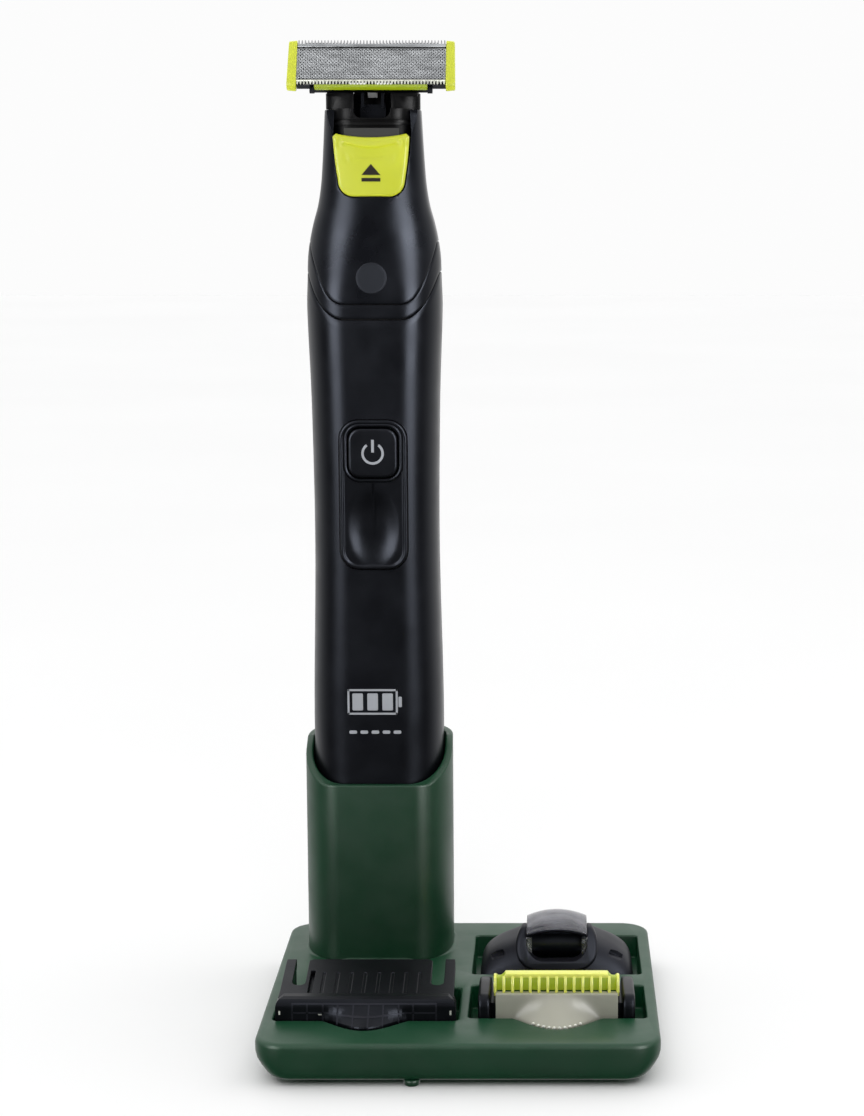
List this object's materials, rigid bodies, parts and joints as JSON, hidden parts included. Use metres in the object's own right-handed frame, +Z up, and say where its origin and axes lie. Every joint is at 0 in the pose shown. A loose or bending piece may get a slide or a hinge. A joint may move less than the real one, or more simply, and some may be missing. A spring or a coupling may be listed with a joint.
{
  "type": "beard trimmer",
  "caption": "Cordless beard trimmer with a reciprocating foil blade, standing in the tower of a storage tray with a stubble comb, a head cap and a skin guard.",
  "frame": {"origin": "centre of the stand footprint, on the surface it stands on", "axes": "+Z up along the trimmer, -Y towards the switch side, +X to the right seen from the front"},
  "size_m": [0.0778, 0.0786, 0.1982],
  "materials": {
    "stand_green": "satin moulded plastic",
    "rubber": "matte",
    "steel": "plain",
    "handle_black": "fine satin",
    "neck_black": "semi gloss",
    "inner_plastic": "plain",
    "lime": "satin",
    "print_grey": "printed",
    "contact_gold": "polished",
    "battery_wrap": "shrink wrap",
    "board_green": "lacquered",
    "white_plastic": "plain",
    "foil_steel": "perforated",
    "charcoal": "satin",
    "smoky_clear": "tinted",
    "milky_plastic": "milky"
  },
  "bodies": {
    "stand": {"base_tray": "stand_green", "tower_sleeve": "stand_green", "base_cover": "stand_green", "ballast_plate": "steel", "cover_screws": "steel", "rubber_feet": "rubber", "well_pad": "rubber"},
    "handle": {"front_shell": "handle_black", "rear_shell": "handle_black", "collar_band": "handle_black", "neck_shell": "neck_black", "badge_disc": "neck_black", "end_cap": "handle_black", "charge_socket": "inner_plastic", "contact_pins": "contact_gold", "battery_cell": "battery_wrap", "battery_tabs": "steel", "chassis": "inner_plastic", "circuit_board": "board_green", "tact_switch": "inner_plastic", "charge_leds": "white_plastic", "motor_can": "steel", "motor_mount": "inner_plastic", "lever_carrier": "inner_plastic", "lever_pin": "steel", "drive_seal": "rubber", "eject_guide": "inner_plastic", "eject_spring": "steel", "switch_panel": "handle_black", "printed_marks": "print_grey", "case_screws": "steel"},
    "power_key": {"power_button": "handle_black", "power_symbol": "print_grey"},
    "eject_key": {"eject_button": "lime", "eject_symbol": "print_grey"},
    "rotor": {"motor_shaft": "steel", "eccentric": "white_plastic"},
    "lever": {"drive_lever": "white_plastic"},
    "cartridge": {"cartridge_base": "neck_black", "pivot_pins": "steel", "return_leaf": "steel"},
    "blade_head": {"pivot_bracket": "neck_black", "blade_frame": "neck_black", "blade_end_caps": "lime", "guard_foil": "foil_steel", "foil_lip": "lime"},
    "cutter": {"cutter_blade": "foil_steel", "drive_bridge": "white_plastic"},
    "comb": {"stubble_comb": "neck_black", "comb_insert": "foil_steel"},
    "head_cap": {"cap_shell": "charcoal", "cap_bezel": "neck_black", "cap_window": "smoky_clear", "cap_roller": "neck_black", "cap_clips": "smoky_clear"},
    "skin_guard": {"guard_frame": "neck_black", "guard_comb": "lime", "guard_plate": "milky_plastic"}
  },
  "joints": [
    {"name": "trimmer_lift", "type": "slide", "parent": "stand", "child": "handle", "axis": [0, 0, 1], "range_m": [0, 0.06]},
    {"name": "comb_lift", "type": "slide", "parent": "stand", "child": "comb", "axis": [0, 0, 1], "range_m": [0, 0.02]},
    {"name": "cap_lift", "type": "slide", "parent": "stand", "child": "head_cap", "axis": [0, 0, 1], "range_m": [0, 0.025]},
    {"name": "guard_lift", "type": "slide", "parent": "stand", "child": "skin_guard", "axis": [0, 0, 1], "range_m": [0, 0.02]},
    {"name": "power_press", "type": "slide", "parent": "handle", "child": "power_key", "axis": [0, 1, 0], "range_m": [0, 0.0007], "stiffness_N_per_m": 1200, "springref_m": -0.0004},
    {"name": "eject_push", "type": "slide", "parent": "handle", "child": "eject_key", "axis": [0, 0, 1], "range_m": [0, 0.0012], "stiffness_N_per_m": 900, "springref_m": -0.0004},
    {"name": "rotor_spin", "type": "hinge", "parent": "handle", "child": "rotor", "pos_m": [-0.0185, 0.026, 0.15], "axis": [0, 0, 1], "continuous": true},
    {"name": "lever_swing", "type": "hinge", "parent": "handle", "child": "lever", "pos_m": [-0.0185, 0.026, 0.17], "axis": [0, 1, 0], "range_deg": [-3.2, 3.2], "stiffness_Nm_per_rad": 0.05},
    {"name": "cartridge_pull", "type": "slide", "parent": "handle", "child": "cartridge", "axis": [0, 0, 1], "range_m": [0, 0.018]},
    {"name": "blade_pitch", "type": "hinge", "parent": "cartridge", "child": "blade_head", "pos_m": [-0.0185, 0.0265, 0.19035], "axis": [1, 0, 0], "range_deg": [-12, 12], "stiffness_Nm_per_rad": 0.05},
    {"name": "cutter_stroke", "type": "slide", "parent": "blade_head", "child": "cutter", "axis": [1, 0, 0], "range_m": [-0.001, 0.001]}
  ],
  "couplings": [
    {"joint": "lever_swing", "follows": "cutter_stroke", "rad_per_m": 55.556}
  ]
}
